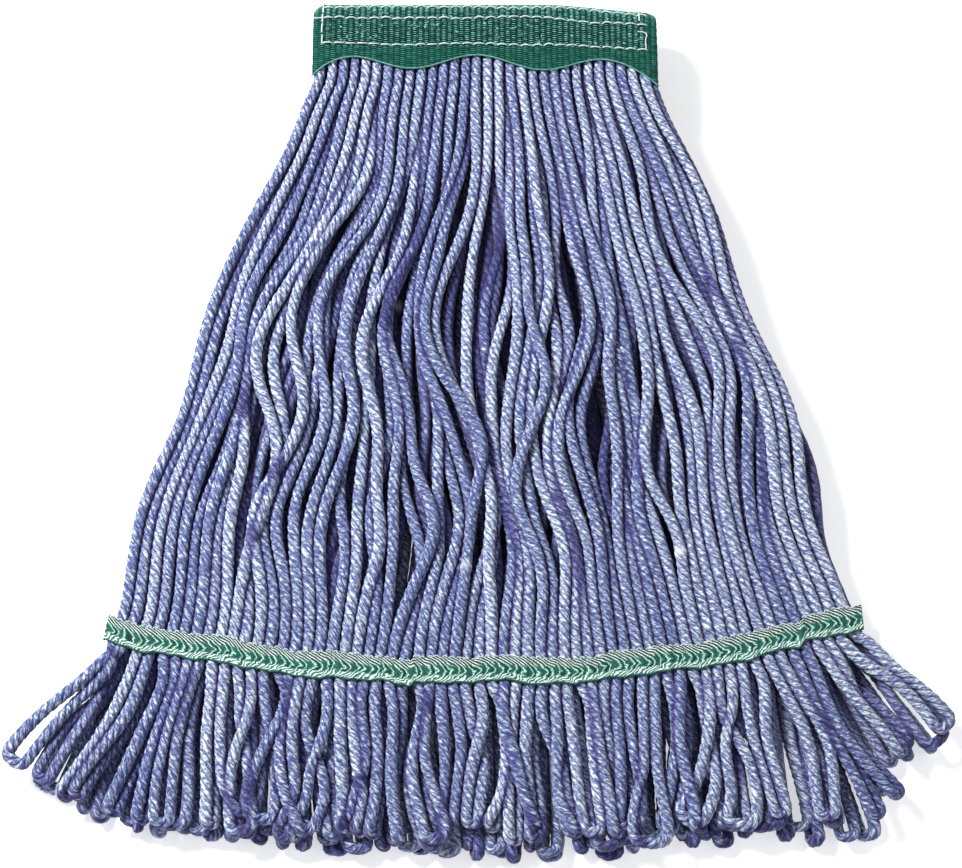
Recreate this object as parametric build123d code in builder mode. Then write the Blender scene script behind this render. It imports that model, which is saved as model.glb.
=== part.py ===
"""String mop head: a looped-end yarn skirt sewn in a mesh headband and lying folded in half."""
from math import copysign, cos, radians, sin, sqrt
import os

from build123d import *

# Millimetres. X runs across the mop, +Y points from the fringe to the headband, +Z is up, the floor is Z = 0.
# The mop is folded in half at its headband, so each piece has an upper and a lower copy.

# Headband
headband_width = 175
fold_radius = 19  # outside of the mesh where it wraps the folded yarn
mesh_thickness = 1.0
mesh_corner = 6
hem_rise = 0.4  # the lower edge of the outer mesh is doubled
hem_margin = 1.5  # the doubled edge reaches this far past the third row of stitches
headband_drop_middle = 19.5  # from the end of the fold down to the scalloped edge
headband_drop_ends = 31
yarn_margin = 1.0  # headband yarn that shows past the lowest point of the mesh
end_margin = 0.5  # yarn is this much narrower than the mesh at each end

# Stitching
thread_width = 1.0
thread_rise = 0.5
stitch_length = 6
stitch_flat = 3.5  # top of a stitch, between its ends that dive into the mesh
stitch_pitch = 7
fold_row_angles = (48, 82)  # degrees round the fold, from its foremost line
hem_row_drop = 12.6  # third row, from the end of the fold

# Yarn skirt
mop_length = 436  # foremost line of the fold to the tips of the fringe
tape_half_span = 178
skirt_flare = 0.85  # exponent of the flare, 1 gives straight sides
lock_count = 10
strands_per_lock = 3  # top strands of one lock as they leave the headband
lock_gap = 1.0
lobe_depth = 0.8  # groove between two strands
rib_bevel = 0.28  # sloping side of a strand's rib, as a share of the strands' pitch
joint_gap = 0.3  # between bodies that move

# Tail tape
tape_width = 12.7
tape_thickness = 1.0
tape_overhang = 1.5  # past the outermost yarn
tape_sag = 27  # the middle of the tape hangs this far below its ends
seat = 0.1
tie_diameter = 0.6

# Fringe
middle_fringe = 73  # length of the longest loops, from the lower edge of the tape
fringe_fan = 42  # degrees that the outermost loops turn outwards
corner_fringe = 70  # length of the outermost loops
fringe_fractions = (0, 0.5, 0.92, 1)  # stations from the tape to the tip
tip_inset = (1.2, 5.0)  # each lock narrows by this much per side at its last two stations
tip_trim = (2, 0, 4, 1, 3, 0, 2, 4, 1, 3)  # how much shorter each lock hangs than the longest

# Heights of the lying mop
clearance_to_fold_plane = 0.15
tape_stack = 12.75  # folding plane above the floor, at the tape
fringe_stack = 12.0
tip_stack = 11.0
fringe_top = 22.5
tip_top = (19.5, 14.0)
tip_bottom = (0.0, 3.0)
skirt_fractions = (0, 0.35, 0.7, 1)  # stations from the headband to the tape

# Derived places
fold_line_y = mop_length / 2 - fold_radius
band_plane_z = thread_rise + hem_rise + fold_radius
yarn_edge_y = fold_line_y - headband_drop_ends - yarn_margin
liner = clearance_to_fold_plane + mesh_thickness
core_height = fold_radius - mesh_thickness  # folding plane to the outer face of the headband yarn
band_half_span = headband_width / 2 - end_margin
tape_middle_y = middle_fringe + tape_width / 2 - mop_length / 2
tape_arc_radius = (tape_half_span**2 + tape_sag**2) / (2 * tape_sag)
tape_top = 2 * tape_stack - tape_thickness
stitch_count = int((headband_width - 2 * mesh_corner) / stitch_pitch)

os.makedirs("parts", exist_ok=True)


def finish(piece, name):
    piece.part.label = name
    export_step(piece.part, f"parts/{name}.step")


def side_name(side):
    return "upper" if side > 0 else "lower"


# ---------- headband ----------
def band_plane(side):
    """Folding plane of the headband, with its normal towards the outer face of that half."""
    return Plane(origin=(0, 0, band_plane_z), x_dir=(side, 0, 0), z_dir=(0, 0, side))


def build_outer_mesh(side):
    """Mesh plate with a scalloped lower edge and a doubled hem along it."""
    half = headband_width / 2
    edge_ends = fold_line_y - headband_drop_ends
    edge_middle = fold_line_y - headband_drop_middle
    hem_top = fold_line_y - hem_row_drop + hem_margin
    with BuildPart() as mesh:
        with BuildSketch(band_plane(side).offset(core_height)):
            with BuildLine():
                Line((-half, fold_line_y), (half, fold_line_y))
                Line((half, fold_line_y), (half, edge_ends))
                ThreePointArc((half, edge_ends), (0, edge_middle), (-half, edge_ends))
                Line((-half, edge_ends), (-half, fold_line_y))
            make_face()
        extrude(amount=mesh_thickness)
        with BuildSketch(band_plane(side).offset(fold_radius)):
            with BuildLine():
                Polyline((half, edge_ends), (half, hem_top), (-half, hem_top), (-half, edge_ends))
                ThreePointArc((-half, edge_ends), (0, edge_middle), (half, edge_ends))
            make_face()
        extrude(amount=hem_rise)
        lower_corners = mesh.edges().filter_by(Axis.Z).group_by(Axis.Y)[0]
        fillet(lower_corners, mesh_corner)
    finish(mesh, f"{side_name(side)}_outer_mesh")


def build_inner_mesh(side):
    """Flat liner on the face of the yarn that turns inwards when the mop is folded."""
    with BuildPart() as mesh:
        with BuildSketch(band_plane(side).offset(clearance_to_fold_plane)):
            with BuildLine():
                Polyline(
                    (-headband_width / 2, fold_line_y - joint_gap / 2),
                    (headband_width / 2, fold_line_y - joint_gap / 2),
                    (headband_width / 2, yarn_edge_y + yarn_margin),
                    (-headband_width / 2, yarn_edge_y + yarn_margin),
                    close=True,
                )
            make_face()
        extrude(amount=mesh_thickness)
        fillet(mesh.edges().filter_by(Axis.Z).group_by(Axis.Y)[0], mesh_corner)
    finish(mesh, f"{side_name(side)}_inner_mesh")


def yarn_outline(width, inner, outer, lobes):
    """Closed outline of a row of strands: flat inside, one bevelled rib for each strand outside."""
    pitch = width / lobes
    valley = outer - copysign(lobe_depth, outer - inner)
    ribs = [(0, valley)]
    for start in (lobe * pitch for lobe in range(lobes)):
        ribs += [(start + pitch * rib_bevel, outer), (start + pitch * (1 - rib_bevel), outer)]
        ribs += [(start + pitch, valley)]
    Polyline((0, inner), *ribs, (width, inner), close=True)


def build_band_yarn(side):
    """Strands side by side between the two meshes, cut off where the skirt starts to bend."""
    start_y = fold_line_y - joint_gap / 2
    strands = lock_count * strands_per_lock
    cut_end = Plane(origin=(-band_half_span, start_y, band_plane_z), x_dir=(1, 0, 0), z_dir=(0, -1, 0))
    with BuildPart() as yarn:
        with BuildSketch(cut_end):
            with BuildLine():
                yarn_outline(2 * band_half_span, side * liner, side * core_height, strands)
            make_face()
        extrude(amount=start_y - yarn_edge_y)
    finish(yarn, f"{side_name(side)}_band_yarn")


def build_fold(name, half_span, inner_radius, outer_radius):
    """Half ring round the folding line, which joins the upper and the lower half."""
    with BuildPart() as fold:
        with BuildSketch(Plane(origin=(0, fold_line_y, band_plane_z), x_dir=(0, 1, 0), z_dir=(1, 0, 0))):
            with BuildLine():
                ThreePointArc((0, -outer_radius), (outer_radius, 0), (0, outer_radius))
                Line((0, outer_radius), (0, inner_radius))
                ThreePointArc((0, inner_radius), (inner_radius, 0), (0, -inner_radius))
                Line((0, -inner_radius), (0, -outer_radius))
            make_face()
        extrude(amount=half_span, both=True)
    finish(fold, name)


# ---------- stitching ----------
with BuildSketch() as stitch:
    with BuildLine():
        Polyline(
            (-stitch_length / 2, 0),
            (-stitch_flat / 2, thread_rise),
            (stitch_flat / 2, thread_rise),
            (stitch_length / 2, 0),
            close=True,
        )
    make_face()


def stitch_row(plane):
    """A straight row of arched stitches; the plane's own Y points away from the mesh."""
    with BuildSketch(plane) as row:
        with GridLocations(stitch_pitch, 0, stitch_count, 1):
            add(stitch.sketch)
    extrude(row.sketch, amount=thread_width / 2, both=True)


def fold_row_plane(angle):
    turn = radians(angle)
    origin = (0, fold_line_y + fold_radius * cos(turn), band_plane_z + fold_radius * sin(turn))
    return Plane(origin=origin, x_dir=(1, 0, 0), z_dir=(0, -sin(turn), cos(turn)))


def build_fold_stitches():
    with BuildPart() as rows:
        for angle in fold_row_angles:
            stitch_row(fold_row_plane(angle))
            stitch_row(fold_row_plane(-angle))
    finish(rows, "fold_stitches")


def build_hem_stitches(side):
    row_z = band_plane_z + side * (fold_radius + hem_rise)
    with BuildPart() as row:
        stitch_row(Plane(origin=(0, fold_line_y - hem_row_drop, row_z), x_dir=(side, 0, 0), z_dir=(0, -1, 0)))
    finish(row, f"{side_name(side)}_hem_stitches")


# ---------- yarn skirt ----------
def tape_y(x):
    """The tape's middle line: an arc that hangs lowest in the middle."""
    return tape_middle_y + tape_arc_radius - sqrt(tape_arc_radius**2 - x**2)


def skirt_station(fraction):
    """Half span and place of a cross-section: the skirt flares until it reaches the ends of the tape."""
    half_span = band_half_span + (tape_half_span - band_half_span) * fraction**skirt_flare
    flare_end_y = tape_y(tape_half_span) + tape_width / 2
    top_y = yarn_edge_y - joint_gap
    return half_span, top_y + (flare_end_y - top_y) * fraction


def tip_point(u, trim):
    """Plan point of the tip of the strand at u, from -1 at the left edge to 1; the corners fan outwards."""
    turn = radians(fringe_fan) * u**3
    length = middle_fringe + (corner_fringe - middle_fringe) * u**4 - trim
    start_x = u * tape_half_span
    start_y = tape_y(start_x) - tape_width / 2
    return Vector(start_x + length * sin(turn), start_y - length * cos(turn))


def lock_ends(left_u, right_u, trim):
    """Left and right end of each cross-section of a lock, from the headband to the tip."""
    ends = []
    for half_span, y in map(skirt_station, skirt_fractions):
        ends.append((Vector(left_u * half_span, y), Vector(right_u * half_span, y)))
    under_tape_y = min(tape_y(left_u * tape_half_span), tape_y(right_u * tape_half_span)) - tape_width / 2
    under_tape = [Vector(u * tape_half_span, under_tape_y) for u in (left_u, right_u)]
    tips = [tip_point(u, trim) for u in (left_u, right_u)]
    for fraction in fringe_fractions:
        ends.append(tuple(start + (tip - start) * fraction for start, tip in zip(under_tape, tips)))
    return ends


def lock_heights(side):
    """Folding plane and outer height at each of those cross-sections."""
    band_outer = band_plane_z + side * core_height
    tape_outer = tape_top - seat if side > 0 else tape_thickness + seat
    heights = []
    for fraction in skirt_fractions:
        plane_z = band_plane_z + (tape_stack - band_plane_z) * fraction
        heights.append((plane_z, band_outer + (tape_outer - band_outer) * fraction))
    heights += [(tape_stack, tape_outer), (fringe_stack, fringe_top if side > 0 else 0)]
    heights += [(tip_stack, outer) for outer in (tip_top if side > 0 else tip_bottom)]
    return heights


def build_lock(side, number):
    """One lock of strands, lofted from the headband under the tape to its looped tip."""
    left_u = -1 + 2 * number / lock_count
    right_u = left_u + 2 / lock_count
    ends = lock_ends(left_u, right_u, tip_trim[number])
    insets = [0] * (len(ends) - len(tip_inset)) + list(tip_inset)
    with BuildPart() as lock:
        for (left, right), (plane_z, outer), inset in zip(ends, lock_heights(side), insets):
            across = (right - left).normalized()
            start = left + across * (inset + lock_gap / 2)
            width = (right - left).length - 2 * inset - lock_gap
            with BuildSketch(Plane(origin=start, x_dir=across, z_dir=(across.Y, -across.X, 0))):
                with BuildLine():
                    yarn_outline(width, plane_z + side * (liner + seat), outer, strands_per_lock)
                make_face()
        loft(ruled=True)
    finish(lock, f"{side_name(side)}_lock_{number + 1}")


# ---------- tail tape ----------
def build_tape(name, bottom_z, thickness=tape_thickness):
    """Flat ribbon along the tape's arc, as wide as the skirt."""
    half = tape_half_span + tape_overhang
    with BuildPart() as tape:
        with BuildSketch(Plane.XY.offset(bottom_z)):
            with BuildLine():
                upper = [(x, tape_y(x) + tape_width / 2) for x in (-half, 0, half)]
                lower = [(x, tape_y(x) - tape_width / 2) for x in (half, 0, -half)]
                ThreePointArc(*upper)
                Line(upper[2], lower[0])
                ThreePointArc(*lower)
                Line(lower[2], upper[0])
            make_face()
        extrude(amount=thickness)
    finish(tape, name)


def build_tape_ties(side):
    """Thread ties that hold the outer to the inner tape, through the gaps between the locks."""
    inner = tape_stack + side * liner
    outer = tape_top if side > 0 else tape_thickness
    with BuildPart() as ties:
        for gap in range(1, lock_count):
            x = (-1 + 2 * gap / lock_count) * tape_half_span
            with BuildSketch(Plane(origin=(x, tape_y(x), inner), z_dir=(0, 0, side))):
                RegularPolygon(tie_diameter / 2, 6)
            extrude(amount=abs(outer - inner))
    finish(ties, f"{side_name(side)}_tape_ties")


build_fold("fold_mesh", headband_width / 2, core_height, fold_radius)
build_fold("fold_yarn", band_half_span, liner, core_height)
build_fold_stitches()
for half_side in (1, -1):
    build_outer_mesh(half_side)
    build_inner_mesh(half_side)
    build_band_yarn(half_side)
    build_hem_stitches(half_side)
    build_tape_ties(half_side)
    for lock_number in range(lock_count):
        build_lock(half_side, lock_number)
build_tape("upper_outer_tape", tape_top)
build_tape("upper_inner_tape", tape_stack + clearance_to_fold_plane)
build_tape("lower_inner_tape", tape_stack - clearance_to_fold_plane - tape_thickness)
build_tape("lower_outer_tape", 0)
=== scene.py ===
import math
from functools import partial

import bpy
import numpy as np
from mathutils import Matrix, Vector


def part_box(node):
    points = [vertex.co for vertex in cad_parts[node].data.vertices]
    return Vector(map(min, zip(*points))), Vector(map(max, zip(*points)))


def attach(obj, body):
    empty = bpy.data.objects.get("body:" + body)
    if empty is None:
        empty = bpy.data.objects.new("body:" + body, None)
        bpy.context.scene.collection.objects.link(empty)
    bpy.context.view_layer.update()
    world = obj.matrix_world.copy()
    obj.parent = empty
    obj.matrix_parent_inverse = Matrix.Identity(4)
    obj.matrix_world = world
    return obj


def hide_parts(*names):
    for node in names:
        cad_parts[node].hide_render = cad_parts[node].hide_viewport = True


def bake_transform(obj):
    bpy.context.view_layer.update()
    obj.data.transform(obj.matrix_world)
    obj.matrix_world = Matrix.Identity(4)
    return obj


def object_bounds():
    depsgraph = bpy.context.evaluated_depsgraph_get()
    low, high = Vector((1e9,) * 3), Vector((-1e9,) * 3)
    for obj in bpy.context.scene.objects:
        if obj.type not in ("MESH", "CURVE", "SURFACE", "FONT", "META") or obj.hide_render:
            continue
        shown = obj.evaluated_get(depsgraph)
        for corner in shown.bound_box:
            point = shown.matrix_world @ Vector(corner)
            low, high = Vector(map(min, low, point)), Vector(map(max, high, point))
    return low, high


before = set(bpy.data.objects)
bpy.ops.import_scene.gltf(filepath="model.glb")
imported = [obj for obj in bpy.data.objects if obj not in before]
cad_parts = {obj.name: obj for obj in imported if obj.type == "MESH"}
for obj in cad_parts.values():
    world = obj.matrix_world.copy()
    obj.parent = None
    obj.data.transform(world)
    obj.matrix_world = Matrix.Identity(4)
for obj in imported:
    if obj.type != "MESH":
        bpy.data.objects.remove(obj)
cadBox = [list(corner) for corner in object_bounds()]
bpy.ops.object.select_all(action="DESELECT")

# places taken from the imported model, in metres
foldLow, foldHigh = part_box("fold_mesh")
foldLineY = foldLow.y
foldRadius = foldHigh.y - foldLow.y
foldPlaneZ = (foldLow.z + foldHigh.z) / 2
bandHalf = foldHigh.x
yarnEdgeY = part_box("upper_band_yarn")[0].y
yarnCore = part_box("upper_band_yarn")[1].z - foldPlaneZ
tapeLow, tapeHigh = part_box("upper_outer_tape")
tapeHalf = tapeHigh.x - 0.0015
tapeUnder = tapeLow.z
tapeWidth = 0.0127
tapeSag = (tapeHigh.y - tapeLow.y) - tapeWidth
tapePlaneZ = (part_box("upper_inner_tape")[0].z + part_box("lower_inner_tape")[1].z) / 2
tapeArc = (tapeHalf**2 + tapeSag**2) / (2 * tapeSag)


def smoothstep(value, low, high):
    part = np.clip((value - low) / (high - low), 0, 1)
    return part * part * (3 - 2 * part)


def joined(*axes):
    # coordinates joined along a last axis
    return np.stack(np.broadcast_arrays(*axes), -1)


def tapeLine(x):
    # middle line of the tail tape: an arc that hangs lowest in the middle
    x = np.clip(x, -tapeHalf, tapeHalf)
    arc = tapeArc - np.sqrt(tapeArc**2 - x**2)
    return tapeLow.y + tapeWidth / 2 + arc - 0.0065 * np.clip(-x / tapeHalf, 0, 1) ** 2


def softNoise(rng, rows, columns, alongBlur, acrossBlur):
    # random field blurred along its rows and across its columns, with a spread of 1
    field = rng.standard_normal((rows, columns))
    for axis, blur in ((0, alongBlur), (1, acrossBlur)):
        if blur <= 0:
            continue
        reach = int(3 * blur) + 1
        kernel = np.exp(-0.5 * (np.arange(-reach, reach + 1) / blur) ** 2)
        pads = [(reach, reach) if a == axis else (0, 0) for a in (0, 1)]
        wide = np.pad(field, pads, mode="reflect" if field.shape[axis] > reach else "wrap")
        field = np.apply_along_axis(lambda line: np.convolve(line, kernel, "valid"), axis, wide)
    return field / field.std()


def fillInputs(node, values):
    # sockets are linked, and numbers and colours are set; nodes and sockets know their own tree
    for label, value in dict(values).items():
        place = node.inputs[label]
        if isinstance(value, bpy.types.NodeSocket):
            node.id_data.links.new(value, place)
        else:
            place.default_value = (*value, 1) if place.type == "RGBA" else value


def addNode(tree, kind, values=(), **settings):
    node = tree.nodes.new("ShaderNode" + kind)
    for label, value in settings.items():
        setattr(node, label, value)
    fillInputs(node, values)
    return node.outputs


def mathNode(operation, *values):
    return addNode(values[0].id_data, "Math", enumerate(values), operation=operation)[0]


plus, minus = partial(mathNode, "ADD"), partial(mathNode, "SUBTRACT")
times, timesPlus = partial(mathNode, "MULTIPLY"), partial(mathNode, "MULTIPLY_ADD")
absolute, fraction = partial(mathNode, "ABSOLUTE"), partial(mathNode, "FRACT")


def rangeNode(value, low, high):
    # 0 at low and 1 at high, also where low is the larger
    return addNode(value.id_data, "MapRange", {"Value": value, "From Min": low, "From Max": high})[0]


def rampNode(value, *stops):
    output = addNode(value.id_data, "ValToRGB", {0: value})[0]
    marks = output.node.color_ramp.elements
    while len(marks) < len(stops):
        marks.new(0.5)
    for mark, (position, colour) in zip(marks, stops):
        mark.position = position
        mark.color = (*colour, 1)
    return output


def mixNode(share, first, second, blend="MIX"):
    values = {0: share, 6: first, 7: second}
    return addNode(share.id_data, "Mix", values, data_type="RGBA", blend_type=blend)[2]


def noiseNode(where, scale, detail, stretch=None):
    if stretch:
        where = addNode(where.id_data, "VectorMath", {0: where, 1: stretch}, operation="MULTIPLY")[0]
    values = {"Vector": where, "Scale": scale, "Detail": detail, "Roughness": 0.6}
    return addNode(where.id_data, "TexNoise", values)["Fac"]


def uvPlace(tree):
    return addNode(tree, "UVMap", uv_map="UVMap")[0]


def solidPlace(tree):
    return addNode(tree, "TexCoord")["Object"]


def attributeValue(tree, name):
    return addNode(tree, "Attribute", attribute_name=name)["Fac"]


def newMaterial(name, roughness, sheen, gloss=0.25):
    material = bpy.data.materials.new(name)
    material.use_nodes = True
    tree = material.node_tree
    values = {"Roughness": roughness, "Sheen Weight": sheen, "Specular IOR Level": gloss}
    fillInputs(tree.nodes["Principled BSDF"], values)
    return material, tree


def finishMaterial(colour, relief, strength, distance):
    tree = colour.id_data
    bump = addNode(tree, "Bump", {"Height": relief, "Strength": strength, "Distance": distance})[0]
    fillInputs(tree.nodes["Principled BSDF"], {"Base Color": colour, "Normal": bump})


def newGroup(name, inputs, outputs):
    # inputs without a value are places, and the others are numbers
    group = bpy.data.node_groups.new(name, "ShaderNodeTree")
    for label, value in inputs.items():
        kind = "NodeSocketVector" if value is None else "NodeSocketFloat"
        socket = group.interface.new_socket(name=label, in_out="INPUT", socket_type=kind)
        if value is not None:
            socket.default_value = value
    for label in outputs:
        group.interface.new_socket(name=label, in_out="OUTPUT", socket_type="NodeSocketFloat")
    return group, group.nodes.new("NodeGroupInput").outputs, group.nodes.new("NodeGroupOutput")


view = {"elevation": 68, "lens": 110.4, "distance": 1.436, "aim": (-0.002, -0.0165, 0.015)}
lamps = {  # place, size and power
    "keyLight": ((-0.84, 0.47, 1.12), 0.40, 37),
    "fillLight": ((0.9, -0.5, 1.2), 1.6, 3),
}


def setStage():
    tilt = math.radians(view["elevation"])
    spot = Vector(view["aim"]) + view["distance"] * Vector((0, -math.cos(tilt), math.sin(tilt)))
    bpy.ops.object.camera_add(location=spot, rotation=(math.pi / 2 - tilt, 0, 0))
    camera = bpy.context.object
    camera.data.lens = view["lens"]
    camera.data.clip_start = 0.05
    bpy.context.scene.camera = camera

    for name, (place, size, power) in lamps.items():
        turn = Vector(place).to_track_quat("Z", "Y").to_euler()
        bpy.ops.object.light_add(type="AREA", location=place, rotation=turn)
        lamp = bpy.context.object
        lamp.name = name
        lamp.data.size = size
        lamp.data.energy = power

    world = bpy.data.worlds.new("softRoom")
    bpy.context.scene.world = world
    world.use_nodes = True
    fillInputs(world.node_tree.nodes["Background"], {"Color": (0.97, 0.98, 1), "Strength": 0.36})

    bpy.ops.mesh.primitive_plane_add(size=12, location=(0, 0, cadBox[0][2] - 0.0002))
    floor = bpy.context.object
    floor.name = "floor"
    material, tree = newMaterial("paleFloor", 0.75, 0, 0.5)
    values = {"Base Color": (0.93, 0.93, 0.93), "Emission Color": (1, 1, 1), "Emission Strength": 0.52}
    fillInputs(tree.nodes["Principled BSDF"], values)
    floor.data.materials.append(material)
    bpy.context.scene.view_settings.view_transform = "Standard"


setStage()
print("stage ready")


def makeFibreGroup():
    # spun fibres that run along V, and the grooves between the plies that are counted across U
    inputs = {"Place": None, "Across": 12.0, "Along": 1.3}
    group, source, sink = newGroup("spunFibre", inputs, ("Fibre", "Groove"))
    x, y, z = addNode(group, "SeparateXYZ", {0: source["Place"]})
    across, along = times(x, source["Across"]), times(y, source["Along"])
    where = addNode(group, "CombineXYZ", {0: across, 1: along, 2: z})[0]
    off = absolute(minus(fraction(x), 0.5))
    groove = mathNode("POWER", times(off, 2.0), 3.2)
    fillInputs(sink, {"Fibre": noiseNode(where, 1.0, 3.0), "Groove": groove})
    return group


def makeThreadGroup():
    # smooth twisted thread: bands of the twist, with uneven dye along it
    inputs = {"Place": None, "Shade": 0.5, "Twist": 3.0}
    group, source, sink = newGroup("threadTwist", inputs, ("Tone", "Ridge"))
    values = {"Distortion": 0.6, "Scale": source["Twist"], "Vector": source["Place"]}
    wave = addNode(group, "TexWave", values, bands_direction="DIAGONAL")["Fac"]
    dye = times(noiseNode(solidPlace(group), 420, 2), 0.6)
    tone = timesPlus(source["Shade"], 0.30, timesPlus(wave, 0.25, dye))
    fillInputs(sink, {"Tone": tone, "Ridge": wave})
    return group


fibreGroup = makeFibreGroup()
threadGroup = makeThreadGroup()
yarnLook = {
    "white": (0.84, 0.92, 0.96),
    "pale": (0.150, 0.202, 0.390),
    "blue": (0.040, 0.046, 0.205),
    # painted shade: dark violet painted into the grooves between the plies
    "groove": (0.012, 0.008, 0.065),
    "flankShade": (0.34, 0.31, 0.56),  # painted shade: darkens the sides of the strands and what lies a little lower
    # painted shade: near-black violet of the strands that lie deepest in the skirt
    "buried": (0.010, 0.006, 0.060),
    "nep": (0.74, 0.77, 0.82),
}


def makeYarnMaterial():
    material, tree = newMaterial("cottonYarn", 0.88, 0.2)
    shade = attributeValue(tree, "strandShade")
    u, v, _ = addNode(tree, "SeparateXYZ", {0: uvPlace(tree)})
    where = addNode(tree, "CombineXYZ", {0: u, 1: v, 2: times(shade, 57.0)})[0]
    fibre = addNode(tree, "Group", {"Place": where}, node_tree=fibreGroup)
    # heather: tufts of white and blue cotton in the periwinkle plies
    tuft = noiseNode(where, 1.0, 5.0, (3.0, 1.9, 1.0))
    lean = times(minus(shade, 0.5), 0.10)
    fine = times(minus(fibre["Fibre"], 0.5), 0.7)
    tone = plus(plus(tuft, lean), fine)
    colour = rampNode(tone, (0.34, yarnLook["blue"]), (0.49, yarnLook["pale"]), (0.68, yarnLook["white"]))
    # painted shade in the grooves between the plies, broken up by the tufts
    groove = times(fibre["Groove"], timesPlus(tuft, 2.4, -0.5))
    colour = mixNode(groove, colour, yarnLook["groove"])
    # painted shade: sides, creases and deeper strands are tinted darker and violet, as if in shadow
    buried = attributeValue(tree, "buried")
    colour = mixNode(rangeNode(buried, 0.0, 0.34), colour, yarnLook["flankShade"], "MULTIPLY")
    colour = mixNode(rangeNode(buried, 0.30, 1.1), colour, yarnLook["buried"])
    colour = mixNode(attributeValue(tree, "nep"), colour, yarnLook["nep"])
    relief = minus(times(fibre["Fibre"], 0.45), times(fibre["Groove"], 0.8))
    finishMaterial(colour, relief, 0.9, 0.0006)
    return material


def makeThreadMaterial(name, light, deep, roughness, twist):
    material, tree = newMaterial(name, roughness, 0.03, 0.12)
    values = {"Place": uvPlace(tree), "Twist": twist, "Shade": attributeValue(tree, "strandShade")}
    thread = addNode(tree, "Group", values, node_tree=threadGroup)
    colour = rampNode(thread["Tone"], (0.34, deep), (0.74, light))
    finishMaterial(colour, thread["Ridge"], 0.5, 0.0002)
    return material


def makeHoleShadeMaterial():
    # painted shade: a near-black sheet in the holes of the mesh, with pale flecks painted for yarn and small
    # highlights seen through them; the doubled hem and ends are plain green
    material, tree = newMaterial("meshHoleShade", 0.85, 0.0, 0.05)
    cells = addNode(tree, "TexVoronoi", {"Vector": solidPlace(tree), "Scale": 950})
    patches = times(noiseNode(solidPlace(tree), 60, 2), 0.35)
    tone = rangeNode(plus(cells["Color"], patches), 0.2, 1.10)
    colour = rampNode(tone, (0.0, (0.0004, 0.006, 0.005)), (0.93, (0.001, 0.013, 0.011)),
                      (1.0, (0.22, 0.42, 0.42)))
    colour = mixNode(attributeValue(tree, "hemShare"), colour, (0.002, 0.036, 0.026))
    finishMaterial(colour, cells["Distance"], 0.4, 0.0003)
    return material


def makeTapeMaterial():
    # woven tape: broken chevrons in the middle, striped upper edge, lace-like lower edge with a dark line
    material, tree = newMaterial("tailTape", 0.7, 0.15)
    where = uvPlace(tree)
    along, across, _ = addNode(tree, "SeparateXYZ", {0: where})
    slow = noiseNode(where, 1.0, 2.0, (0.55, 2.5, 1.0))
    quick = noiseNode(where, 1.0, 5.0, (6.5, 24.0, 1.0))
    placed = timesPlus(minus(slow, 0.5), 0.22, across)
    fromMiddle = absolute(minus(placed, 0.46))
    # the threads run more and more along the tape towards its edges
    steep = timesPlus(fromMiddle, -4.6, -2.2)
    lean = timesPlus(fromMiddle, steep, times(slow, 2.0))
    phase, rough = plus(along, lean), minus(quick, 0.5)
    tones = []
    for pace, noisy in ((1.0, 1.0), (1.5, 1.3)):
        wave = mathNode("PINGPONG", times(phase, pace), 0.5)
        tones.append(plus(times(wave, 2.0), times(rough, noisy)))
    fine = timesPlus(tones[1], 0.35, times(tones[0], 0.65))
    middle = rampNode(fine, (0.28, (0.001, 0.024, 0.020)), (0.50, (0.006, 0.125, 0.083)),
                      (0.73, (0.020, 0.21, 0.150)), (0.86, (0.62, 0.80, 0.73)))
    upper = rampNode(tones[1], (0.26, (0.006, 0.022, 0.020)), (0.54, (0.055, 0.115, 0.10)),
                     (0.92, (0.68, 0.80, 0.76)))
    lace = rampNode(tones[1], (0.22, (0.010, 0.09, 0.068)), (0.48, (0.13, 0.29, 0.24)),
                    (0.88, (0.76, 0.88, 0.83)))
    colour = mixNode(rangeNode(placed, 0.62, 0.72), middle, upper)
    colour = mixNode(rangeNode(placed, 0.31, 0.25), colour, lace)
    colour = mixNode(rangeNode(across, 0.085, 0.045), colour, (0.012, 0.11, 0.085))
    finishMaterial(colour, tones[0], 0.6, 0.0003)
    return material


yarnMaterial = makeYarnMaterial()
meshMaterial = makeThreadMaterial("meshThread", (0.014, 0.12, 0.088), (0.003, 0.035, 0.026), 0.5, 9.0)
holeShadeMaterial = makeHoleShadeMaterial()
dashMaterial = makeThreadMaterial("meshDash", (0.19, 0.58, 0.50), (0.004, 0.10, 0.078), 0.5, 3.0)
hemMaterial = makeThreadMaterial("hemDash", (0.034, 0.22, 0.165), (0.0025, 0.060, 0.045), 0.5, 3.0)
edgeMaterial = makeThreadMaterial("edgeThread", (0.26, 0.52, 0.47), (0.07, 0.24, 0.20), 0.6, 3.0)
threadMaterial = makeThreadMaterial("stitchThread", (0.86, 0.93, 0.90), (0.50, 0.63, 0.58), 0.6, 7.0)
tapeMaterial = makeTapeMaterial()
print("materials ready")


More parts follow.
